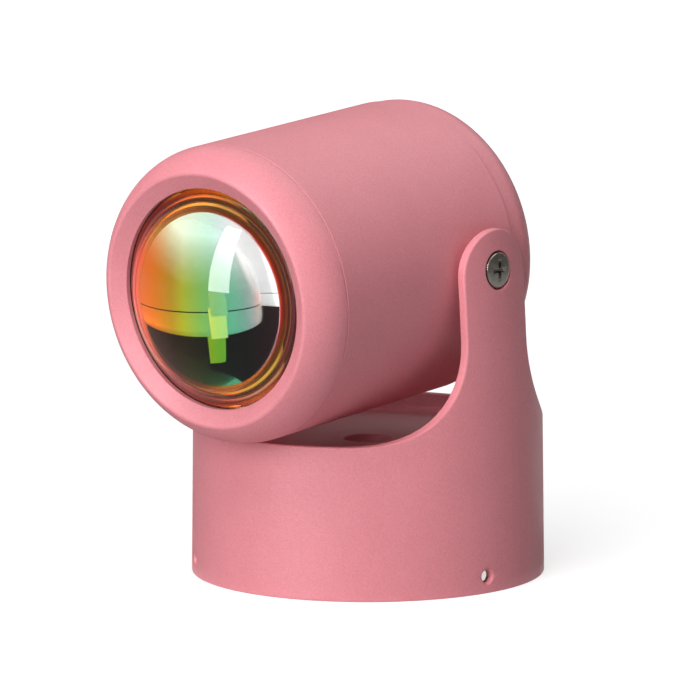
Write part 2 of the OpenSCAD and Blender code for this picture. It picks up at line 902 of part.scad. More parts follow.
module pivot_screws() {
    color(steel)
        on_head()
            on_both_ends()
                translate([0, 0, screw_seat_x])
                    pan_screw(screw_d, screw_head_d, screw_head_h, screw_len);
}

module pivot_spring_washers() {
    color(steel)
        on_head()
            on_both_ends()
                ring(spring_r, screw_r + thread_gap, spring_x, barrel_boss_x);
}

module pivot_nuts() {
    color(steel)
        on_head()
            on_both_ends()
                translate([0, 0, spring_x - nut_t])
                    nut(nut_across, nut_t, screw_r + thread_gap);
}

module friction_washers() {
    color([0.93, 0.93, 0.90])
        on_head()
            on_both_ends()
                ring(washer_d / 2, screw_r + thread_gap, spot_x, spot_x + washer_t);
}

base_shell();
head_barrel();
front_bezel();
rear_cap();
projection_lens();
lens_gasket();
colour_filter();
filter_holder();
retaining_ring();
light_tube();
light_tube_screws();
collector_lens();
light_emitter();
lamp_board();
lamp_board_screws();
heat_sink();
lamp_leads();
driver_board();
driver_parts();
driver_screws();
rear_cap_screws();
cord_gland();
gland_nut();
pivot_screws();
pivot_spring_washers();
pivot_nuts();
friction_washers();
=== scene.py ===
# A small projection lamp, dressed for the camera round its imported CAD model. Sizes are in
# millimetres until a mesh is made, in the CAD's own frame: +Z up, the tilt axis along X, and the
# lens towards -Y.
import math

import bmesh
import bpy
from mathutils import Matrix, Vector


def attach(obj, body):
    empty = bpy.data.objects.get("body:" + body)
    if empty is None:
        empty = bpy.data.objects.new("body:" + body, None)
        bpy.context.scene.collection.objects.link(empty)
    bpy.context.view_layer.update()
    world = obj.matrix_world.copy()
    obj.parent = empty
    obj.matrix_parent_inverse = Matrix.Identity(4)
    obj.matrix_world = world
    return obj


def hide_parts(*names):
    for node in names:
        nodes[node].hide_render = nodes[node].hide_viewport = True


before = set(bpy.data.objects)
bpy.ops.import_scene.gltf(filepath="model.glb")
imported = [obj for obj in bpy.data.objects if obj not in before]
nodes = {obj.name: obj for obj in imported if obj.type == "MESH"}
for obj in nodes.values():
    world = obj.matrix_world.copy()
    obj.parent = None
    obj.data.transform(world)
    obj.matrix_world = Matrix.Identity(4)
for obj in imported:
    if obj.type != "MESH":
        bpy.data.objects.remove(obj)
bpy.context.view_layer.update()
scene = bpy.context.scene
MM = 0.001


# Camera
# A long lens at the photograph's height and angle. The distance, the focal length and the aim were
# fitted to the outlines of the base, the ear, the barrel and the lens opening.
camera_azimuth = math.radians(40.109)
camera_elevation = math.radians(8.835)
camera_roll = math.radians(-0.117)
camera_distance = 1400
focal_pixels = 6195.8
frame_pixels = 680
sensor_width = 36
aim_side = -6.262
aim_height = 52.438
nearest_m = 0.05
farthest_m = 50

away = Vector((math.sin(camera_azimuth) * math.cos(camera_elevation),
               -math.cos(camera_azimuth) * math.cos(camera_elevation),
               math.sin(camera_elevation)))
level_right = Vector((math.cos(camera_azimuth), math.sin(camera_azimuth), 0))
level_up = away.cross(level_right)
right = level_right * math.cos(camera_roll) + level_up * math.sin(camera_roll)
up = level_up * math.cos(camera_roll) - level_right * math.sin(camera_roll)
aim = Vector((0, 0, aim_height)) + right * aim_side
camera_data = bpy.data.cameras.new("camera")
camera_data.sensor_fit = "HORIZONTAL"
camera_data.sensor_width = sensor_width
camera_data.lens = focal_pixels / frame_pixels * sensor_width
camera_data.clip_start = nearest_m
camera_data.clip_end = farthest_m
camera = bpy.data.objects.new("camera", camera_data)
camera_turn = Matrix((right, up, away)).transposed().to_4x4()
camera.matrix_world = Matrix.Translation((aim + away * camera_distance) * MM) @ camera_turn
scene.collection.objects.link(camera)
scene.camera = camera


# Base
# One die-casting: a round skirt, open underneath, with a recessed deck that has a hole in the
# middle, and two ears swept up from the rim to carry the head. Its edges are softly rounded under
# a dusty pink powder coat, and three countersunk holes round the foot take the screws of a plate.
base_r = 40
rim_r = 39.6
rim_h = 34.5
wall = 2
skirt_r = 38
deck_top = 30
deck_under = 28
deck_fillet = 1.5
deck_hole_r = 5.4
pivot_h = 71.8
ear_bend = 1.2175
ear_half = 10.5
ear_round_h = 70.5
sweep_r = 22
soft_edge = 0.4
small_edge = 0.25
ear_boss_x = 33.85
ear_boss_r = 7
ear_bore_r = 2.05
recess_x = 35.45
recess_r = 4.4
recess_edge = 0.1
skirt_hole_h = 3.8
skirt_hole_r = 1.4
skirt_sink = 0.5
skirt_hole_angles = (-8.4, 111.6, 231.6)
skirt_hole_block = math.radians(4)
skirt_hole_rows = (0.8, 3.8, 6.8)
outside_levels = (31, 27, 21, 15, 10)
inside_levels = (10, 15, 21)
deck_rings = (30, 20, 12)
sweep_y = ear_half + sweep_r
sweep_z = rim_h + sweep_r
edge_steps = 4
fillet_steps = 6
ear_columns = 48
rim_columns = 30
sweep_rows = 16
side_rows = 7
top_steps = 30
hole_steps = 36
crown_shares = (1, 0.8, 0.6, 0.42, 0.27, 0.15, 0.06, 0)
merge_distance = 1e-6


def shell_r(z):
    """Outside radius of the base and its ears at height z."""
    lean = ear_bend * (max(0, z - rim_h) / (pivot_h - rim_h)) ** 2
    return base_r - (base_r - rim_r) * z / rim_h - lean


def on_ear(y, z, depth):
    """A point that lies depth under the outside of the ear at +X."""
    return (math.sqrt((shell_r(z) - depth) ** 2 - y * y), y, z)


def quarter(radius):
    """(inset, depth) along a rounded edge, from its first face to the next one."""
    turns = [math.pi / 2 * k / edge_steps for k in range(edge_steps + 1)]
    return [(radius * (1 - math.sin(a)), radius * (1 - math.cos(a))) for a in turns]


def ear_outline(inset):
    """(y, z) along the edge of an ear, from the rim on one side over its top to the other side."""
    reach = sweep_r + inset
    half = ear_half - inset
    turns = [math.pi / 2 * k / sweep_rows for k in range(sweep_rows + 1)]
    left = [(reach * math.sin(a) - sweep_y, sweep_z - reach * math.cos(a)) for a in turns]
    left += [(-half, sweep_z + (ear_round_h - sweep_z) * k / side_rows) for k in range(1, side_rows)]
    turns = [math.pi * k / top_steps for k in range(top_steps + 1)]
    top = [(-half * math.cos(a), ear_round_h + half * math.sin(a)) for a in turns]
    return left + top + [(-y, z) for y, z in reversed(left)]


def ear_row(width):
    """The y of every column across an ear, from -width to width."""
    full = math.asin(sweep_y / shell_r(rim_h))
    return [width * math.sin(full * (2 * k / ear_columns - 1)) / math.sin(full)
            for k in range(ear_columns + 1)]


def column_angles(radius):
    """The angle of every column round the base: across one ear, along the rim, and the same again."""
    ear = [math.asin(y / radius) for y in ear_row(sweep_y)]
    rim = [ear[-1] + (math.pi - 2 * ear[-1]) * k / rim_columns for k in range(1, rim_columns)]
    return ear + rim + [a + math.pi for a in ear + rim]


def turned(row, side):
    """The same points, turned half round for the ear at -X."""
    return [(x * side, y * side, z) for x, y, z in row]


class Skin:
    """Collects grids and rings of points in millimetres and makes one mesh of them."""

    def __init__(self):
        self.points = []
        self.faces = []

    def add_row(self, row):
        """Adds points and gives their places in the list."""
        first = len(self.points)
        self.points.extend(row)
        return list(range(first, first + len(row)))

    def grid(self, rows, closed=False, leave_out=()):
        """Quads between rows of equal length, apart from the cells (row, column) in leave_out."""
        marks = [self.add_row(row) for row in rows]
        wide = len(rows[0])
        for i in range(len(rows) - 1):
            for j in range(wide if closed else wide - 1):
                if (i, j) not in leave_out:
                    k = (j + 1) % wide
                    self.faces.append((marks[i][j], marks[i][k], marks[i + 1][k], marks[i + 1][j]))

    def fan(self, coarse, fine, facing):
        """Triangles from a coarse loop to a finer one; facing gives the fine point at each coarse one."""
        outer, inner = self.add_row(coarse), self.add_row(fine)
        for i, here in enumerate(facing):
            n = (i + 1) % len(outer)
            span = (facing[n] - here) % len(inner)
            for k in range(span):
                corner = outer[i] if k < span // 2 else outer[n]
                side = [inner[(here + k + step) % len(inner)] for step in (0, 1)]
                self.faces.append((corner, *side))
            self.faces.append((outer[i], outer[n], inner[(here + span // 2) % len(inner)]))

    def plain_mesh(self, name):
        """The points and faces as they are, in metres."""
        mesh = bpy.data.meshes.new(name)
        mesh.from_pydata([[v * MM for v in point] for point in self.points], [], self.faces)
        return mesh

    def make(self, name, material):
        """An object whose points are merged, with its faces turned outwards and shaded smooth."""
        mesh = self.plain_mesh(name)
        shape = bmesh.new()
        shape.from_mesh(mesh)
        bmesh.ops.remove_doubles(shape, verts=shape.verts, dist=merge_distance)
        bmesh.ops.recalc_face_normals(shape, faces=shape.faces)
        shape.to_mesh(mesh)
        shape.free()
        mesh.shade_smooth()
        mesh.materials.append(material)
        made = bpy.data.objects.new(name, mesh)
        scene.collection.objects.link(made)
        made.modifiers.new("even normals", "WEIGHTED_NORMAL")
        return made


def rounded(corners):
    """The half section with those corners, (radius, along, rounding), each rounding drawn as an arc."""
    points = []
    for i, (r, along, rounding) in enumerate(corners):
        here = Vector((r, along))
        if not rounding:
            points.append((r, along))
            continue
        back = (Vector(corners[i - 1][:2]) - here).normalized()
        ahead = (Vector(corners[(i + 1) % len(corners)][:2]) - here).normalized()
        half = back.angle(ahead) / 2
        centre = here + (back + ahead).normalized() * rounding / math.sin(half)
        first = here + back * rounding / math.tan(half) - centre
        last = here + ahead * rounding / math.tan(half) - centre
        full = first.angle(last)
        for k in range(edge_steps + 1):
            a = full * k / edge_steps
            points.append(tuple(centre + (first * math.sin(full - a) + last * math.sin(a)) / math.sin(full)))
    return points


def hole_circle(radius, surface_r, depth, angle):
    """Points round a skirt hole at depth under a surface of that radius."""
    circle = []
    for k in range(hole_steps):
        beta = 2 * math.pi * k / hole_steps
        across = radius * math.cos(beta)
        out = math.sqrt(surface_r ** 2 - across ** 2) - depth
        circle.append((out * math.cos(angle) - across * math.sin(angle),
                       out * math.sin(angle) + across * math.cos(angle),
                       skirt_hole_h + radius * math.sin(beta)))
    return circle


def hole_cells(rows, angles, angle):
    """The cells round a skirt hole, and the loop of grid points round those cells."""
    low = next(i for i, row in enumerate(rows) if abs(row[0][2] - skirt_hole_rows[0]) < merge_distance)
    step = 1 if rows[low + 1][0][2] > rows[low][0][2] else -1
    off = [math.remainder(a - angle, 2 * math.pi) for a in angles]
    first = max((j for j in range(len(off)) if off[j] < -skirt_hole_block), key=lambda j: off[j])
    last = min((j for j in range(len(off)) if off[j] > skirt_hole_block), key=lambda j: off[j])
    wide = (last - first) % len(off)
    columns = [(first + k) % len(off) for k in range(wide + 1)]
    levels = [low, low + step, low + 2 * step]
    cells = {(min(a, b), j) for a, b in zip(levels, levels[1:]) for j in columns[:-1]}
    loop = [rows[levels[0]][j] for j in columns]
    loop += [rows[levels[1]][columns[-1]]]
    loop += [rows[levels[2]][j] for j in reversed(columns)]
    loop += [rows[levels[1]][columns[0]]]
    return cells, loop


def join_hole(skin, loop, circle, angle):
    """Closes the skin between a loop of grid points and the circle of a skirt hole."""
    facing = []
    for x, y, z in loop:
        across = y * math.cos(angle) - x * math.sin(angle)
        beta = math.atan2(z - skirt_hole_h, across)
        facing.append(round(beta / (2 * math.pi) * hole_steps) % hole_steps)
    skin.fan(loop, circle, facing)


base_skin = Skin()
outer_angles = column_angles(shell_r(rim_h - soft_edge))
inner_angles = column_angles(shell_r(rim_h - soft_edge) - wall)

# The skirt, down the outside, round the foot and up the inside, over the deck, and up to the rim
outside = [(shell_r(z), z) for z in (rim_h - soft_edge, *outside_levels)]
outside += [(shell_r(z), z) for z in reversed(skirt_hole_rows)]
outside += [(base_r - inset, depth) for depth, inset in quarter(small_edge)]
inside = [(skirt_r + inset, depth) for inset, depth in quarter(small_edge)]
inside += [(skirt_r, z) for z in skirt_hole_rows + inside_levels]
inside += [(skirt_r - inset, deck_under - depth) for depth, inset in quarter(small_edge)]
inside += [(r, deck_under) for r in deck_rings]
inside += [(deck_hole_r + inset, deck_under + depth) for inset, depth in quarter(small_edge)]
inside += [(deck_hole_r + inset, deck_top - depth) for inset, depth in reversed(quarter(small_edge))]
pan_r = shell_r(rim_h - soft_edge) - wall
inside += [(r, deck_top) for r in reversed(deck_rings)]
inside += [(pan_r - deck_fillet * (1 - math.sin(a)), deck_top + deck_fillet * (1 - math.cos(a)))
           for a in (math.pi / (2 * fillet_steps) * k for k in range(fillet_steps + 1))]
inside += [(pan_r, rim_h - soft_edge)]
outer_rows = [[(r * math.cos(a), r * math.sin(a), z) for a in outer_angles] for r, z in outside]
inner_rows = [[(r * math.cos(a), r * math.sin(a), z) for a in inner_angles] for r, z in inside]
outer_cells, inner_cells = set(), set()
for degrees in skirt_hole_angles:
    angle = math.radians(degrees)
    mouth_r = skirt_hole_r + skirt_sink
    circles = [hole_circle(mouth_r + small_edge / 2, shell_r(skirt_hole_h), 0, angle),
               hole_circle(mouth_r, shell_r(skirt_hole_h), small_edge / 4, angle),
               hole_circle(skirt_hole_r, shell_r(skirt_hole_h), skirt_sink, angle),
               hole_circle(skirt_hole_r, skirt_r, 0, angle)]
    base_skin.grid(circles, closed=True)
    cells, loop = hole_cells(outer_rows[::-1], outer_angles, angle)
    outer_cells |= {(len(outer_rows) - 2 - i, j) for i, j in cells}
    join_hole(base_skin, loop, circles[0], angle)
    cells, loop = hole_cells(inner_rows, inner_angles, angle)
    inner_cells |= cells
    join_hole(base_skin, loop, circles[-1], angle)
base_skin.grid(outer_rows, closed=True, leave_out=outer_cells)
base_skin.grid([outer_rows[-1], inner_rows[0]], closed=True)
base_skin.grid(inner_rows, closed=True, leave_out=inner_cells)

# The rounded edge of the rim and the ears, from the outside face over to the inside face
edge_rows = quarter(soft_edge) + [(inset, wall - depth) for inset, depth in reversed(quarter(soft_edge))]
rows = []
for inset, depth in edge_rows:
    z = rim_h - inset
    r = shell_r(z) - depth
    rim_angles = column_angles(r)[ear_columns + 1:ear_columns + rim_columns]
    rim = [(r * math.cos(a), r * math.sin(a), z) for a in rim_angles]
    ear = [on_ear(y, z, depth) for y, z in ear_outline(inset)]
    rows.append(ear + rim + turned(ear + rim, -1))
base_skin.grid(rows, closed=True)

# The faces of the ears: the part under the sweep, and the part round the screw
outline = ear_outline(soft_edge)
columns = ear_row(1)
neck = outline[:sweep_rows + 1]
crown = [(columns[k] * (ear_half - soft_edge), sweep_z) for k in range(ear_columns + 1)]
crown += reversed(outline[sweep_rows + 1:-sweep_rows - 1])


def crown_ring(radius, depth, share=0.0, flat_x=None):
    """Points round the screw: a share of the way from a circle to the ear's edge."""
    ring = []
    for y, z in crown:
        reach = math.hypot(y, z - pivot_h)
        at = radius + (reach - radius) * share
        y, z = y / reach * at, pivot_h + (z - pivot_h) / reach * at
        ring.append((flat_x, y, z) if flat_x else on_ear(y, z, depth))
    return ring


# Outside face, recess, bore, boss and inside face
rows = [crown_ring(recess_r + recess_edge, 0, share) for share in crown_shares]
rows += [crown_ring(recess_r + inset, depth) for inset, depth in quarter(recess_edge)]
rows += [crown_ring(recess_r, 0, 0, recess_x), crown_ring(ear_bore_r, 0, 0, recess_x)]
rows += [crown_ring(ear_bore_r, 0, 0, ear_boss_x)]
rows += [crown_ring(ear_boss_r - depth, 0, 0, ear_boss_x + inset) for inset, depth in quarter(small_edge)]
rows += [crown_ring(ear_boss_r, wall + small_edge)]
rows += [crown_ring(ear_boss_r + inset, wall + depth) for depth, inset in quarter(small_edge)]
rows += [crown_ring(ear_boss_r + small_edge, wall, share) for share in reversed(crown_shares)]
for side in (1, -1):
    for depth in (0, wall):
        base_skin.grid([turned([on_ear(u * -y, z, depth) for u in columns], side) for y, z in neck])
    base_skin.grid([turned(row, side) for row in rows], closed=True)


def node_group(name, inputs, outputs):
    """A shader group with its named sockets, and its two ends."""
    group = bpy.data.node_groups.new(name, "ShaderNodeTree")
    for socket, kind, value in inputs:
        group.interface.new_socket(socket, in_out="INPUT", socket_type=kind).default_value = value
    for socket, kind in outputs:
        group.interface.new_socket(socket, in_out="OUTPUT", socket_type=kind)
    return group, group.nodes.new("NodeGroupInput"), group.nodes.new("NodeGroupOutput")


def add(tree, kind, **settings):
    """A node with its settings; a setting that names a socket gives that socket's value."""
    made = tree.nodes.new(kind)
    for key, value in settings.items():
        socket = key.replace("_", " ")
        if socket in made.inputs:
            made.inputs[socket].default_value = value
        else:
            setattr(made, key, value)
    return made


def material_for(name, colour, roughness, **sockets):
    """A material with plain values on its own shader; returns it, its tree and that shader."""
    material = bpy.data.materials.new(name)
    material.use_nodes = True
    tree = material.node_tree
    shader = tree.nodes["Principled BSDF"]
    shader.inputs["Base Color"].default_value = (*colour, 1)
    shader.inputs["Roughness"].default_value = roughness
    for key, value in sockets.items():
        shader.inputs[key.replace("_", " ")].default_value = value
    return material, tree, shader


# Grain in a coat or a moulding: fine bumps, broader unevenness, and a tint that follows both
grain_detail = 2.0
mottle_detail = 3.0
noise_roughness = 0.55
noise_low = 0.3
noise_high = 0.7
grain_relief = 0.25
grain, ends_in, ends_out = node_group(
    "surface grain",
    [("Grain size", "NodeSocketFloat", 0.4), ("Mottle size", "NodeSocketFloat", 6.0)],
    [("Height", "NodeSocketFloat"), ("Mottle", "NodeSocketFloat")])
place = add(grain, "ShaderNodeTexCoord")
for size, output, detail in (("Grain size", "Height", grain_detail),
                             ("Mottle size", "Mottle", mottle_detail)):
    per_metre = add(grain, "ShaderNodeMath", operation="DIVIDE")
    per_metre.inputs[0].default_value = 1 / MM
    noise = add(grain, "ShaderNodeTexNoise", Detail=detail, Roughness=noise_roughness)
    grain.links.new(ends_in.outputs[size], per_metre.inputs[1])
    grain.links.new(place.outputs["Object"], noise.inputs["Vector"])
    grain.links.new(per_metre.outputs[0], noise.inputs["Scale"])
    grain.links.new(noise.outputs["Fac"], ends_out.inputs[output])


def grained(name, colour, roughness, grain_size, mottle_size, strength, colours, roughness_range,
            mottle_share=0.5, **sockets):
    """A material with the grain in its colour, roughness and normal."""
    material, tree, shader = material_for(name, colour, roughness, **sockets)
    made = tree.nodes.new("ShaderNodeGroup")
    made.node_tree = grain
    made.inputs["Grain size"].default_value = grain_size
    made.inputs["Mottle size"].default_value = mottle_size
    both = add(tree, "ShaderNodeMath", operation="MULTIPLY_ADD")
    both.inputs[1].default_value = mottle_share
    spread = add(tree, "ShaderNodeMapRange", From_Min=noise_low * (1 + mottle_share),
                 From_Max=noise_high * (1 + mottle_share))
    tint = add(tree, "ShaderNodeMix", data_type="RGBA")
    tint.inputs[6].default_value = (*colours[0], 1)
    tint.inputs[7].default_value = (*colours[1], 1)
    rough = add(tree, "ShaderNodeMapRange", From_Min=noise_low, From_Max=noise_high,
                To_Min=roughness_range[0], To_Max=roughness_range[1])
    bump = add(tree, "ShaderNodeBump", Strength=strength, Distance=grain_size * MM * grain_relief)
    tree.links.new(made.outputs["Mottle"], both.inputs[0])
    tree.links.new(made.outputs["Height"], both.inputs[2])
    tree.links.new(both.outputs[0], spread.inputs["Value"])
    tree.links.new(spread.outputs["Result"], tint.inputs[0])
    tree.links.new(tint.outputs[2], shader.inputs["Base Color"])
    tree.links.new(made.outputs["Mottle"], rough.inputs["Value"])
    tree.links.new(rough.outputs["Result"], shader.inputs["Roughness"])
    tree.links.new(made.outputs["Height"], bump.inputs["Height"])
    tree.links.new(bump.outputs["Normal"], shader.inputs["Normal"])
    return material


pink_coat = grained("pink_powder_coat", (0.8, 0.265, 0.325), 0.55,
                    grain_size=0.4, mottle_size=9, strength=0.55, mottle_share=0.25,
                    colours=((0.74, 0.24, 0.282), (0.86, 0.302, 0.345)), roughness_range=(0.44, 0.56))
base = base_skin.make("lamp_base", pink_coat)
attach(base, "base")
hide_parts("base_shell")


# Head barrel
# A die-cast tube with the bosses for the pivot screws, open at both ends and bevelled at its seams,
# in the same coat as the base.
def dress(material, *names):
    """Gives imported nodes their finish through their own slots."""
    for name in names:
        for slot in nodes[name].material_slots:
            slot.material = material


dress(pink_coat, "head_barrel")


# Front bezel
# A die-cast ring whose spigot pushes into the barrel: a bullnose that rolls over a soft edge into a
# shallow cone, and a thin lip that holds the lens. Its back edge is rounded where the seam shows.
barrel_r = 33.35
seam_front = 46.65
seam_round = 0.25
spigot_r = 31.3
spigot_len = 5
nose_r = 11.2
face_w = 5.05
cone_w = 3.6
cone_depth = 2.2
lip_t = 1.2
lip_round = 1
lip_edge = 0.15
nose_steps = 40
edge_arc_steps = 10
turn_steps = 192
head_tilt = 4.2
head_lean = math.radians(head_tilt + 90)
cone_r = barrel_r - face_w
opening_r = cone_r - cone_w
nose_c = barrel_r - nose_r
cone_front = seam_front + math.sqrt(nose_r ** 2 - (cone_r - nose_c) ** 2)
lip_front = cone_front - cone_depth
lip_back = lip_front - lip_t
flange_r = 27.3
seat_r = 27.35


def on_head(x, y, along):
    """A point of the head: x across, y up, and along the lens axis from the tilt axis."""
    return (x, y * math.cos(head_lean) - along * math.sin(head_lean),
            pivot_h + y * math.sin(head_lean) + along * math.cos(head_lean))


def turn(skin, section, place):
    """Turns a half section, (radius, along), about the axis that place stands it on."""
    turns = [2 * math.pi * k / turn_steps for k in range(turn_steps)]
    skin.grid([[place(r * math.cos(a), r * math.sin(a), along) for a in turns] for r, along in section],
              closed=True)


# The bullnose and the soft edge meet where the line through both centres crosses the bullnose
cone_along = Vector((cone_w, cone_depth)).normalized()
cone_in = Vector((cone_along.y, -cone_along.x))
nose_centre = Vector((nose_c, seam_front))
edge_line = Vector((opening_r, lip_front)) - nose_centre + cone_in * lip_round
reach = (math.sqrt((edge_line @ cone_along) ** 2 - edge_line @ edge_line + (nose_r - lip_round) ** 2)
         - edge_line @ cone_along)
edge_centre = nose_centre + edge_line + cone_along * reach
edge_out = (edge_centre - nose_centre).normalized()
nose_end = math.atan2(edge_out.y, edge_out.x)
nose_start = seam_round / nose_r
cone_turn = math.atan2(-cone_in.y, -cone_in.x)
bezel_section = [(nose_c + nose_r * math.cos(a), seam_front + nose_r * math.sin(a))
                 for a in (nose_start + (nose_end - nose_start) * k / nose_steps
                           for k in range(nose_steps + 1))]
bezel_section += [tuple(edge_centre + lip_round * Vector((math.cos(a), math.sin(a))))
                  for a in (nose_end + (cone_turn - nose_end) * k / edge_arc_steps
                            for k in range(1, edge_arc_steps + 1))]
bezel_section += rounded([(*(edge_centre - cone_in * lip_round), 0), (opening_r, lip_front, lip_edge),
                          (opening_r, lip_back, lip_edge), (seat_r, lip_back, 0),
                          (seat_r, seam_front - spigot_len, lip_edge),
                          (spigot_r, seam_front - spigot_len, lip_edge),
                          (spigot_r, seam_front, 0), (barrel_r, seam_front, seam_round),
                          (*bezel_section[0], 0)])[1:-1]
bezel_skin = Skin()
turn(bezel_skin, bezel_section + bezel_section[:1], on_head)
bezel = bezel_skin.make("lens_bezel", pink_coat)
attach(bezel, "head")
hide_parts("front_bezel")


# Lens and its gasket
# A thick plano-convex lens of clear glass, polished all over, whose flat back is coated against
# glare. Its flange sits behind the bezel's lip on a black rubber gasket.
dome_rows = 40
back_rings = (0, 4, 8, 12, 16, 20, 24)
lens_back = 50.15
dome_r = 33
dome_edge_r = 24.5
flange_front = 52.1
dome_centre = lip_back - math.sqrt(dome_r ** 2 - dome_edge_r ** 2)
dome_turn = math.asin(dome_edge_r / dome_r)
lens_section = [(r, lens_back) for r in back_rings]
lens_section += rounded([(back_rings[-1], lens_back, 0), (flange_r, lens_back, lip_edge),
                         (flange_r, flange_front, lip_edge), (dome_edge_r, flange_front, 0)])[1:]
lens_section += [(dome_r * math.sin(a), dome_centre + dome_r * math.cos(a))
                 for a in (dome_turn * (1 - k / dome_rows) for k in range(dome_rows + 1))]
crown_glass_ior = 1.517
coated_gloss = (0.03, 0.03, 0.03, 1)
lens_glass, tree, shader = material_for("lens_glass", (1, 1, 1), 0.0, IOR=crown_glass_ior,
                                        Transmission_Weight=1.0)
coated_glass, tree, shader = material_for("coated_lens_back", (1, 1, 1), 0.0, IOR=crown_glass_ior,
                                          Transmission_Weight=1.0, Specular_Tint=coated_gloss)
lens_skin = Skin()
turn(lens_skin, lens_section, on_head)
lens = lens_skin.make("projection_lens_glass", lens_glass)
lens.data.materials.append(coated_glass)
back_row = Vector(on_head(0, 0, lens_back)) * MM
lens_axis = (Vector(on_head(0, 0, 1)) - Vector(on_head(0, 0, 0))).normalized()
for face in lens.data.polygons:
    if abs((face.center - back_row) @ lens_axis) < merge_distance:
        face.material_index = 1
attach(lens, "head")
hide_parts("projection_lens")

black_rubber = grained("black_rubber", (0.03, 0.03, 0.03), 0.7,
                       grain_size=0.2, mottle_size=2, strength=0.3,
                       colours=((0.02, 0.02, 0.02), (0.045, 0.043, 0.042)), roughness_range=(0.6, 0.8))
dress(black_rubber, "lens_gasket")


# Colour filter and its holder
# A dichroic mirror disc that throws back orange on one side through green on the other, with a painted
# reflection of bright light whitening its top and its far edge, pressed behind the lens by a turned
# aluminium ring anodised copper, whose colours round its turn carry painted reflections, and whose
# grooves carry painted shade and highlights.
tint_reach = 17.3
round_lens, ends_in, ends_out = node_group(
    "round the lens axis", [],
    [("Across", "NodeSocketFloat"), ("Up", "NodeSocketFloat"),
     ("Radius", "NodeSocketFloat"), ("Turn", "NodeSocketFloat")])
place = add(round_lens, "ShaderNodeTexCoord")
stand = add(round_lens, "ShaderNodeMapping")
stand.inputs["Rotation"].default_value = (-head_lean, 0, 0)
stand.inputs["Location"].default_value = Matrix.Rotation(-head_lean, 3, "X") @ Vector((0, 0, -pivot_h * MM))
parts = add(round_lens, "ShaderNodeSeparateXYZ")
flat = add(round_lens, "ShaderNodeCombineXYZ")
length = add(round_lens, "ShaderNodeVectorMath", operation="LENGTH")
turning = add(round_lens, "ShaderNodeTexGradient", gradient_type="RADIAL")
round_lens.links.new(place.outputs["Object"], stand.inputs["Vector"])
round_lens.links.new(stand.outputs["Vector"], parts.inputs[0])
round_lens.links.new(parts.outputs["X"], flat.inputs["X"])
round_lens.links.new(parts.outputs["Y"], flat.inputs["Y"])
round_lens.links.new(flat.outputs[0], length.inputs[0])
round_lens.links.new(stand.outputs["Vector"], turning.inputs["Vector"])
round_lens.links.new(parts.outputs["X"], ends_out.inputs["Across"])
round_lens.links.new(parts.outputs["Y"], ends_out.inputs["Up"])
round_lens.links.new(length.outputs["Value"], ends_out.inputs["Radius"])
round_lens.links.new(turning.outputs["Fac"], ends_out.inputs["Turn"])


def add_ramp(tree, value, stops):
    """A colour ramp fed by value, with stops of (position, colour)."""
    ramp = add(tree, "ShaderNodeValToRGB")
    for position, colour in stops[2:]:
        ramp.color_ramp.elements.new(position)
    for element, (position, colour) in zip(ramp.color_ramp.elements, stops):
        element.position = position
        element.color = (*colour, 1)
    tree.links.new(value, ramp.inputs["Fac"])
    return ramp.outputs["Color"]


def add_mask(tree, value, stops):
    """A mask fed by value, with stops of (position, level)."""
    return add_ramp(tree, value, [(position, (level, level, level)) for position, level in stops])


def add_math(tree, operation, *values):
    """A Math node; each value is a number or another node's output."""
    made = add(tree, "ShaderNodeMath", operation=operation)
    for socket, value in zip(made.inputs, values):
        if isinstance(value, (int, float)):
            socket.default_value = value
        else:
            tree.links.new(value, socket)
    return made.outputs[0]


def over_disc(tree, value):
    """0 at one edge of the filter's coating and 1 at the other."""
    share = add(tree, "ShaderNodeMapRange", From_Min=-tint_reach * MM, From_Max=tint_reach * MM)
    tree.links.new(value, share.inputs["Value"])
    return share.outputs["Result"]


# The coating runs from orange through green across the disc. A painted reflection of bright light pales
# it towards the top, lower down in the middle than on the left, and beyond a slanted line near the white
# edge.
slant = (0.857, 0.514)
slant_from = 9.1
slant_to = 10.5
left_from = 6.1
left_drop = 0.5
filter_mirror, tree, shader = material_for("filter_mirror", (1, 0.6, 0.2), 0.0, Metallic=1.0)
axis = add(tree, "ShaderNodeGroup", node_tree=round_lens)
across = over_disc(tree, axis.outputs["Across"])
upwards = over_disc(tree, axis.outputs["Up"])
coating = add_ramp(tree, across, (
    (0.0, (0.72, 0.12, 0.01)), (0.12, (0.60, 0.14, 0.003)), (0.24, (0.38, 0.20, 0.003)),
    (0.32, (0.32, 0.34, 0.005)), (0.42, (0.17, 0.37, 0.04)), (0.55, (0.05, 0.35, 0.10)),
    (0.65, (0.01, 0.33, 0.16)), (0.73, (0.01, 0.22, 0.14)), (0.81, (0.19, 0.20, 0.20)),
    (1.0, (0.24, 0.23, 0.19))))
# The colours of the painted reflection of bright light, laid over the coating where the mask below is high.
painted_glow_colours = add_ramp(tree, across, (
    (0.0, (0.9, 0.5, 0.2)), (0.15, (0.9, 0.75, 0.40)), (0.24, (0.90, 0.94, 0.64)),
    (0.32, (0.83, 0.94, 0.70)), (0.41, (0.68, 0.93, 0.70)), (0.50, (0.58, 0.90, 0.72)),
    (0.57, (0.64, 0.88, 0.80)), (0.68, (0.95, 0.96, 0.95)), (1.0, (0.95, 0.96, 0.95))))
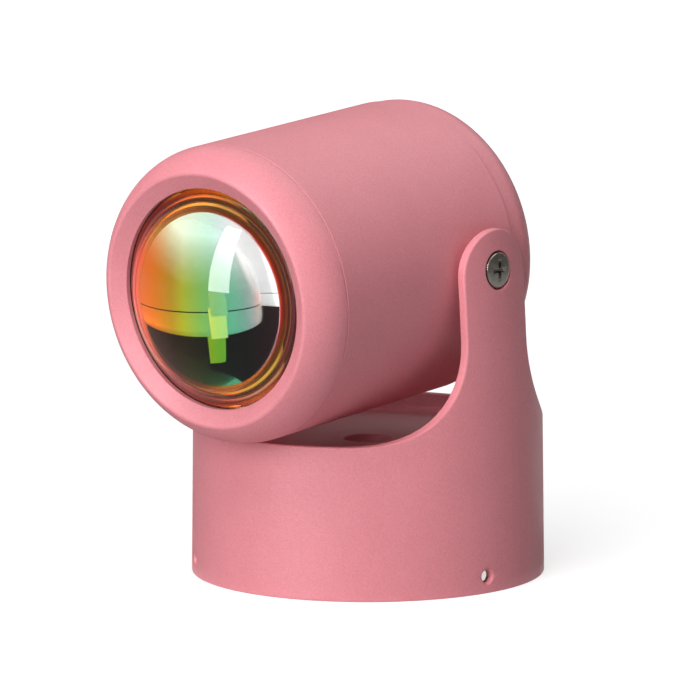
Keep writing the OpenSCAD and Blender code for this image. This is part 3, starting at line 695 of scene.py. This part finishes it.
# Where the painted reflection lies: over the top, lower in the middle than on the left, and past a slanted
# line.
to_left = add_math(tree, "MINIMUM", add_math(tree, "ADD", axis.outputs["Across"], left_from * MM), 0)
lowered = add_math(tree, "MULTIPLY_ADD", to_left, left_drop, axis.outputs["Up"])
high = add_mask(tree, over_disc(tree, lowered), (
    (0, 0), (0.55, 0), (0.633, 0.12), (0.71, 0.33), (0.78, 0.6), (0.855, 1), (1, 1)))
slanted = add_math(tree, "MULTIPLY_ADD", axis.outputs["Up"], slant[1],
                   add_math(tree, "MULTIPLY", axis.outputs["Across"], slant[0]))
beyond = add(tree, "ShaderNodeMapRange", From_Min=slant_from * MM, From_Max=slant_to * MM)
tree.links.new(slanted, beyond.inputs["Value"])
above = add_mask(tree, upwards, ((0, 0), (0.49, 0), (0.58, 0.36), (0.66, 0.8), (0.73, 1), (1, 1)))
painted_glow_share = add_math(tree, "MAXIMUM", high, add_math(tree, "MULTIPLY", beyond.outputs["Result"], above))
coating_with_painted_glow = add(tree, "ShaderNodeMix", data_type="RGBA")
tree.links.new(painted_glow_share, coating_with_painted_glow.inputs[0])
tree.links.new(coating, coating_with_painted_glow.inputs[6])
tree.links.new(painted_glow_colours, coating_with_painted_glow.inputs[7])
tree.links.new(coating_with_painted_glow.outputs[2], shader.inputs["Base Color"])
dress(filter_mirror, "colour_filter")

# The ring's colours change round its turn, one way near the filter and another near the bezel: tints
# with painted reflections in them, and cream patches at the lower left and lower right that are painted
# highlights. Its grooves carry painted shade and painted highlights as darker and brighter lines, apart
# from the left, where it is smooth.
ring_from = 17
ring_to = 24
outer_tint_from = 19.9
outer_tint_to = 21.2
copper_anodised, tree, shader = material_for("copper_anodised", (0.85, 0.22, 0.05), 0.16, Metallic=0.8)
axis = add(tree, "ShaderNodeGroup", node_tree=round_lens)
# Outer tints round the turn, partly painted reflection; the cream stops are painted highlights.
outer = add_ramp(tree, axis.outputs["Turn"], (
    (0.0, (0.90, 0.16, 0.05)), (0.02, (0.90, 0.15, 0.05)), (0.045, (0.98, 0.80, 0.42)),
    (0.115, (0.98, 0.80, 0.42)), (0.14, (0.80, 0.12, 0.02)),
    (0.25, (0.95, 0.22, 0.04)), (0.32, (0.95, 0.72, 0.40)), (0.39, (0.85, 0.62, 0.30)),
    (0.44, (0.62, 0.30, 0.90)), (0.51, (0.55, 0.35, 1.0)), (0.58, (0.62, 0.12, 0.45)),
    (0.66, (0.85, 0.30, 0.03)), (0.76, (0.90, 0.50, 0.05)), (0.86, (0.42, 0.03, 0.01)),
    (0.94, (0.90, 0.15, 0.05)), (1.0, (0.90, 0.16, 0.05))))
# Inner tints round the turn, partly painted reflection.
inner = add_ramp(tree, axis.outputs["Turn"], (
    (0.0, (0.90, 0.14, 0.03)), (0.06, (0.90, 0.13, 0.02)), (0.13, (0.75, 0.08, 0.02)),
    (0.25, (0.80, 0.30, 0.03)), (0.38, (0.75, 0.50, 0.04)), (0.50, (0.95, 0.12, 0.03)),
    (0.62, (0.95, 0.20, 0.03)), (0.75, (0.60, 0.42, 0.08)), (0.88, (0.70, 0.30, 0.03)),
    (0.94, (0.90, 0.13, 0.02)), (1.0, (0.90, 0.14, 0.03))))
# Where the grooves' painted shade and highlights show: all round but the left.
painted_groove_mask = add_mask(tree, axis.outputs["Turn"], ((0, 0), (0.06, 0), (0.14, 1), (0.86, 1), (0.94, 0), (1, 0)))
outward = add(tree, "ShaderNodeMapRange", From_Min=outer_tint_from * MM, From_Max=outer_tint_to * MM)
span = add(tree, "ShaderNodeMapRange", From_Min=ring_from * MM, From_Max=ring_to * MM)
tree.links.new(axis.outputs["Radius"], outward.inputs["Value"])
tree.links.new(axis.outputs["Radius"], span.inputs["Value"])
# Painted shade of the grooves, darkening the ring in bands across its width.
painted_groove_shade = add_ramp(tree, span.outputs["Result"], (
    (0.0, (0.7, 0.6, 0.6)), (0.16, (0.6, 0.5, 0.5)), (0.24, (1, 1, 1)), (0.34, (1, 0.9, 0.9)),
    (0.42, (0.4, 0.2, 0.2)), (0.52, (1, 0.8, 0.8)), (0.6, (0.35, 0.15, 0.15)), (0.7, (0.6, 0.4, 0.4)),
    (0.75, (1, 1, 1)), (1.0, (1, 1, 1))))
# Painted highlights of the grooves, thin bright lines across its width.
painted_groove_glints = add_ramp(tree, span.outputs["Result"], (
    (0.0, (0, 0, 0)), (0.2, (0, 0, 0)), (0.215, (0.6, 0.8, 0.2)), (0.235, (0, 0, 0)), (0.375, (0, 0, 0)),
    (0.39, (1, 0.85, 0.3)), (0.405, (1, 0.85, 0.3)), (0.42, (0, 0, 0)), (0.625, (0, 0, 0)),
    (0.645, (0.4, 1, 0.2)), (0.665, (0, 0, 0)), (1.0, (0, 0, 0))))
both = add(tree, "ShaderNodeMix", data_type="RGBA")
with_painted_groove_shade = add(tree, "ShaderNodeMix", data_type="RGBA", blend_type="MULTIPLY")
with_painted_groove_glints = add(tree, "ShaderNodeMix", data_type="RGBA", blend_type="LIGHTEN")
tree.links.new(painted_groove_mask, with_painted_groove_shade.inputs[0])
tree.links.new(painted_groove_mask, with_painted_groove_glints.inputs[0])
tree.links.new(outward.outputs["Result"], both.inputs[0])
tree.links.new(inner, both.inputs[6])
tree.links.new(outer, both.inputs[7])
tree.links.new(both.outputs[2], with_painted_groove_shade.inputs[6])
tree.links.new(painted_groove_shade, with_painted_groove_shade.inputs[7])
tree.links.new(with_painted_groove_shade.outputs[2], with_painted_groove_glints.inputs[6])
tree.links.new(painted_groove_glints, with_painted_groove_glints.inputs[7])
tree.links.new(with_painted_groove_glints.outputs[2], shader.inputs["Base Color"])
dress(copper_anodised, "filter_holder")

black_anodised = grained("black_anodised", (0.03, 0.03, 0.03), 0.45, Metallic=0.5,
                         grain_size=0.15, mottle_size=3, strength=0.15,
                         colours=((0.02, 0.02, 0.022), (0.04, 0.04, 0.043)), roughness_range=(0.4, 0.5))
dress(black_anodised, "retaining_ring")


# Light tube and light source
# Closed in behind the lens: a black moulded tube with a clear collector lens, and a white board with
# its emitter and red leads, screwed to an aluminium plate with cooling fins.
collector_ior = 1.49
black_plastic = grained("black_plastic", (0.03, 0.03, 0.033), 0.5,
                        grain_size=0.3, mottle_size=4, strength=0.35,
                        colours=((0.022, 0.022, 0.024), (0.042, 0.042, 0.045)), roughness_range=(0.42, 0.6))
dress(black_plastic, "light_tube", "driver_parts")
clear_lens, tree, shader = material_for("clear_lens", (1, 1, 1), 0.0, IOR=collector_ior,
                                        Transmission_Weight=1.0)
dress(clear_lens, "collector_lens")
emitter = grained("emitter_phosphor", (0.95, 0.78, 0.15), 0.4,
                  grain_size=0.3, mottle_size=2, strength=0.2,
                  colours=((0.9, 0.7, 0.1), (0.97, 0.82, 0.22)), roughness_range=(0.3, 0.45))
dress(emitter, "light_emitter")
white_board = grained("white_board", (0.85, 0.85, 0.82), 0.35,
                      grain_size=0.4, mottle_size=5, strength=0.1,
                      colours=((0.80, 0.80, 0.76), (0.87, 0.87, 0.84)), roughness_range=(0.3, 0.4))
dress(white_board, "lamp_board")
bare_aluminium = grained("bare_aluminium", (0.62, 0.63, 0.64), 0.4, Metallic=1.0,
                         grain_size=0.25, mottle_size=5, strength=0.25,
                         colours=((0.56, 0.57, 0.58), (0.68, 0.69, 0.70)), roughness_range=(0.3, 0.5))
dress(bare_aluminium, "heat_sink")
wire = grained("wire_insulation", (0.5, 0.02, 0.02), 0.4,
               grain_size=0.5, mottle_size=6, strength=0.1,
               colours=((0.42, 0.015, 0.015), (0.55, 0.03, 0.025)), roughness_range=(0.35, 0.5))
dress(wire, "lamp_leads")
green_board = grained("green_board", (0.03, 0.2, 0.08), 0.35,
                      grain_size=0.3, mottle_size=3, strength=0.15,
                      colours=((0.02, 0.16, 0.06), (0.04, 0.24, 0.10)), roughness_range=(0.28, 0.42))
dress(green_board, "driver_board")
screw_steel = grained("screw_steel", (0.38, 0.36, 0.33), 0.25, Metallic=1.0,
                      grain_size=0.3, mottle_size=1.5, strength=0.12,
                      colours=((0.30, 0.28, 0.25), (0.44, 0.42, 0.39)), roughness_range=(0.16, 0.34))
dress(screw_steel, "light_tube_screws", "lamp_board_screws", "driver_screws")


# Rear cap and cord gland
# A cast cup in the coat, held by three screws from behind, with a black moulded gland where the
# lead goes in.
dress(pink_coat, "rear_cap")
dress(screw_steel, "rear_cap_screws", "gland_nut")
dress(black_plastic, "cord_gland")


# Tilt joint
# On each side a pan-headed screw passes through the ear and a nylon friction washer into a boss of
# the barrel, and a spring washer and a nut hold its tension. The heads are nickel-plated steel with
# a rounded rim, set in the recesses of the ears.
screw_r = 2
screw_head_r = 4
screw_head_h = 2.75
screw_rim_round = 0.55
screw_face_rise = 0.25
screw_under_round = 0.1
screw_tip_round = 0.3
screw_face_rings = 8
screw_len = 14
screw_seat_x = 35.5
cross_reach = 2.3
cross_half = 0.5
cross_floor_reach = 1.3
cross_floor_half = 0.3
cross_depth = 1.3
cutter_above = 0.1
sharp_angle = math.radians(30)
white_nylon = grained("white_nylon", (0.85, 0.85, 0.82), 0.5,
                      grain_size=0.3, mottle_size=3, strength=0.1,
                      colours=((0.80, 0.80, 0.76), (0.88, 0.88, 0.85)), roughness_range=(0.42, 0.56))
dress(white_nylon, "friction_washers")
dress(screw_steel, "pivot_spring_washers", "pivot_nuts")


def cross(reach, half, along, place):
    """The outline of a cross recess at one depth."""
    corners = [(reach, -half), (reach, half), (half, half)]
    quarter_turns = ((1, 0), (0, 1), (-1, 0), (0, -1))
    return [place(x * c - y * s, x * s + y * c, along) for c, s in quarter_turns for x, y in corners]


for side, name in ((1, "pivot_screw_right"), (-1, "pivot_screw_left")):
    def on_pivot(x, y, along):
        """A point of a pivot screw, measured out from the underside of its head."""
        return (side * (screw_seat_x + along), x * side, pivot_h + y)

    screw_skin = Skin()
    rim_top = screw_head_h - screw_face_rise
    shares = [k / screw_face_rings for k in range(screw_face_rings - 1)]
    face = [(screw_head_r * share, screw_head_h - screw_face_rise * share ** 2) for share in shares]
    outline = face[:-1] + rounded([(*face[-1], 0), (screw_head_r, rim_top, screw_rim_round),
                                   (screw_head_r, 0, screw_under_round), (screw_r, 0, 0),
                                   (screw_r, -screw_len, screw_tip_round), (0, -screw_len, 0)])
    turn(screw_skin, outline, on_pivot)
    cutter_skin = Skin()
    top = cross(cross_reach, cross_half, screw_head_h + cutter_above, on_pivot)
    floor = cross(cross_floor_reach, cross_floor_half, screw_head_h - cross_depth, on_pivot)
    cutter_skin.grid([top, floor], closed=True)
    cutter_skin.faces.append(tuple(cutter_skin.add_row(top)))
    cutter_skin.faces.append(tuple(cutter_skin.add_row(floor)))
    screw = screw_skin.make(name, screw_steel)
    cutter = cutter_skin.make(name + "_cutter", screw_steel)
    screw.modifiers.clear()
    cut = screw.modifiers.new("cross recess", "BOOLEAN")
    cut.object = cutter
    graph = bpy.context.evaluated_depsgraph_get()
    screw.data = bpy.data.meshes.new_from_object(screw.evaluated_get(graph))
    screw.modifiers.clear()
    bpy.data.objects.remove(cutter)
    screw.data.shade_smooth()
    screw.data.set_sharp_from_angle(angle=sharp_angle)
    screw.modifiers.new("even normals", "WEIGHTED_NORMAL").keep_sharp = True
    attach(screw, "head")
    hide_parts("pivot_screws")


# Floor, studio and lamps
# A plain pale floor in a white studio, with its distances in metres. What is looked at directly, or
# in glass and polished metal, is plain white; the softboxes and a weak sky light the lamp itself.
def seen_directly(tree):
    """1 for what the camera, a mirror or glass looks at, and 0 for light that falls on things."""
    path = add(tree, "ShaderNodeLightPath")
    first = add(tree, "ShaderNodeMath", operation="MAXIMUM")
    both = add(tree, "ShaderNodeMath", operation="MAXIMUM")
    tree.links.new(path.outputs["Is Camera Ray"], first.inputs[0])
    tree.links.new(path.outputs["Is Glossy Ray"], first.inputs[1])
    tree.links.new(first.outputs[0], both.inputs[0])
    tree.links.new(path.outputs["Is Transmission Ray"], both.inputs[1])
    return both.outputs[0]


def staged(name, mesh, material):
    """An object of the studio, which isn't a piece of the lamp."""
    mesh.materials.append(material)
    made = bpy.data.objects.new(name, mesh)
    scene.collection.objects.link(made)
    return made


floor_reach = 3
floor_glow_near = 0.68
floor_glow_far = 0.95
floor_white, tree, shader = material_for("floor_white", (0.5, 0.5, 0.5), 0.9, Emission_Color=(1, 1, 1, 1))
place = add(tree, "ShaderNodeTexCoord")
near = add(tree, "ShaderNodeTexGradient", gradient_type="SPHERICAL")
level = add(tree, "ShaderNodeMapRange", To_Min=floor_glow_far, To_Max=floor_glow_near)
glow = add(tree, "ShaderNodeMath", operation="MULTIPLY")
tree.links.new(place.outputs["Object"], near.inputs["Vector"])
tree.links.new(near.outputs["Fac"], level.inputs["Value"])
tree.links.new(level.outputs["Result"], glow.inputs[1])
tree.links.new(seen_directly(tree), glow.inputs[0])
tree.links.new(glow.outputs[0], shader.inputs["Emission Strength"])
floor_mesh = bpy.data.meshes.new("floor")
floor_mesh.from_pydata([(-floor_reach, -floor_reach, 0), (floor_reach, -floor_reach, 0),
                        (floor_reach, floor_reach, 0), (-floor_reach, floor_reach, 0)], [], [(0, 1, 2, 3)])
staged("floor", floor_mesh, floor_white)

sky_light = 0.1
world = bpy.data.worlds.new("studio")
scene.world = world
world.use_nodes = True
tree = world.node_tree
strength = add(tree, "ShaderNodeMapRange", To_Min=sky_light, To_Max=1.0)
tree.links.new(seen_directly(tree), strength.inputs["Value"])
tree.links.new(strength.outputs["Result"], tree.nodes["Background"].inputs["Strength"])
tree.nodes["Background"].inputs["Color"].default_value = (1, 1, 1, 1)


def towards(azimuth, elevation):
    """A direction from the lamp: azimuth 0 is -Y and 90 is +X, in degrees."""
    a, e = math.radians(azimuth), math.radians(elevation)
    return Vector((math.sin(a) * math.cos(e), -math.cos(a) * math.cos(e), math.sin(e)))


def softbox(name, azimuth, elevation, distance, size, power):
    """A square lamp that faces the object and isn't seen in gloss or through glass."""
    data = bpy.data.lights.new(name, "AREA")
    data.shape = "SQUARE"
    data.size = size
    data.energy = power
    lamp = bpy.data.objects.new(name, data)
    out = towards(azimuth, elevation)
    stand = Matrix.Translation(out * distance + Vector((0, 0, pivot_h * MM)))
    lamp.matrix_world = stand @ out.to_track_quat("Z", "Y").to_matrix().to_4x4()
    scene.collection.objects.link(lamp)
    lamp.visible_glossy = False
    lamp.visible_transmission = False


softbox("key_softbox", 13, 20, 1.4, 0.9, 13.2)
softbox("top_softbox", 15, 64, 1.3, 0.8, 9.4)
softbox("fill_softbox", -50, 25, 1.4, 0.9, 1.4)


# What the coat, the metal, the lens and the mirror behind it reflect: dim walls, flags, boxes and
# strips of light, each a curved sheet round the lamp, and two mats on the table round its foot. The
# names that end in filter, low, near and rim are for what the mirror shows through the lens.
wall_columns = 16
mat_columns = 24
mat_height = 1
mat_reach = (0.042, 1.62)


def arc(azimuths, distance, height, columns):
    """Points in millimetres along an arc round the lamp, between two azimuths in degrees."""
    turns = [azimuths[0] + (azimuths[1] - azimuths[0]) * k / columns for k in range(columns + 1)]
    return [(math.sin(math.radians(a)) * distance / MM, -math.cos(math.radians(a)) * distance / MM, height)
            for a in turns]


def glowing_sheet(name, rows, colour, strength=1.0, in_gloss=True, in_glass=True):
    """A sheet through those rows of points that shows only in gloss, or through glass."""
    sheet = Skin()
    sheet.grid(rows)
    material, tree, shader = material_for(name, (0, 0, 0), 1.0, Emission_Color=(*colour, 1),
                                          Emission_Strength=strength, Specular_IOR_Level=0.0)
    made = staged(name, sheet.plain_mesh(name), material)
    made.visible_camera = False
    made.visible_diffuse = False
    made.visible_shadow = False
    made.visible_glossy = in_gloss
    made.visible_transmission = in_glass


def studio_sheet(name, azimuths, elevations, distance, colour, strength=1.0, **seen):
    """An upright sheet between two azimuths and two elevations, in degrees."""
    heights = [distance * math.tan(math.radians(elevation)) / MM + pivot_h for elevation in elevations]
    glowing_sheet(name, [arc(azimuths, distance, height, wall_columns) for height in heights],
                  colour, strength, **seen)


studio_sheet("dim_wall", (-170, 75), (-3, 62), 1.6, (0.3, 0.22, 0.22), in_glass=False)
studio_sheet("overhead_box", (100, 240), (25, 75), 1.6, (1, 1, 1), 1.6, in_glass=False)
studio_sheet("dark_wall_in_filter", (-100, 4), (-1.5, 62), 1.6, (0.03, 0.012, 0.014), in_gloss=False)
studio_sheet("table_edge", (-100, 4), (-10.3, -9.95), 0.39, (0.02, 0.02, 0.02), in_gloss=False)
studio_sheet("right_flag", (75, 175), (-10, 55), 0.4, (0.13, 0.125, 0.115), in_glass=False)
studio_sheet("strip_box_in_filter", (-46.1, -37.9), (-1.5, 11), 1.5, (1.55, 1.05, 0.15), in_gloss=False)
studio_sheet("strip_box_low", (-42, -35.4), (-11.3, -2), 0.36, (4.8, 2.1, 1.25), in_gloss=False)
studio_sheet("strip_box_near", (-38.2, -32.6), (-14.6, -9), 0.22, (2.2, 1.5, 1.4), in_gloss=False)
studio_sheet("strip_box_on_lens", (-14.9, 2), (-7, 43), 1.45, (1.0, 0.93, 0.97), 12.0, in_glass=False)
studio_sheet("strip_box_at_rim", (0, 4), (-1, 38), 1.45, (1, 0.85, 0.5), 1.6, in_gloss=False)
for name, azimuths, colour in (("grey_mat", (-112, 60), (0.3, 0.3, 0.3)),
                               ("paler_mat", (60, 165), (0.45, 0.44, 0.43))):
    rows = [arc(azimuths, reach, mat_height, mat_columns) for reach in mat_reach]
    glowing_sheet(name, rows, colour, in_glass=False)


# View transform
scene.view_settings.view_transform = "Standard"
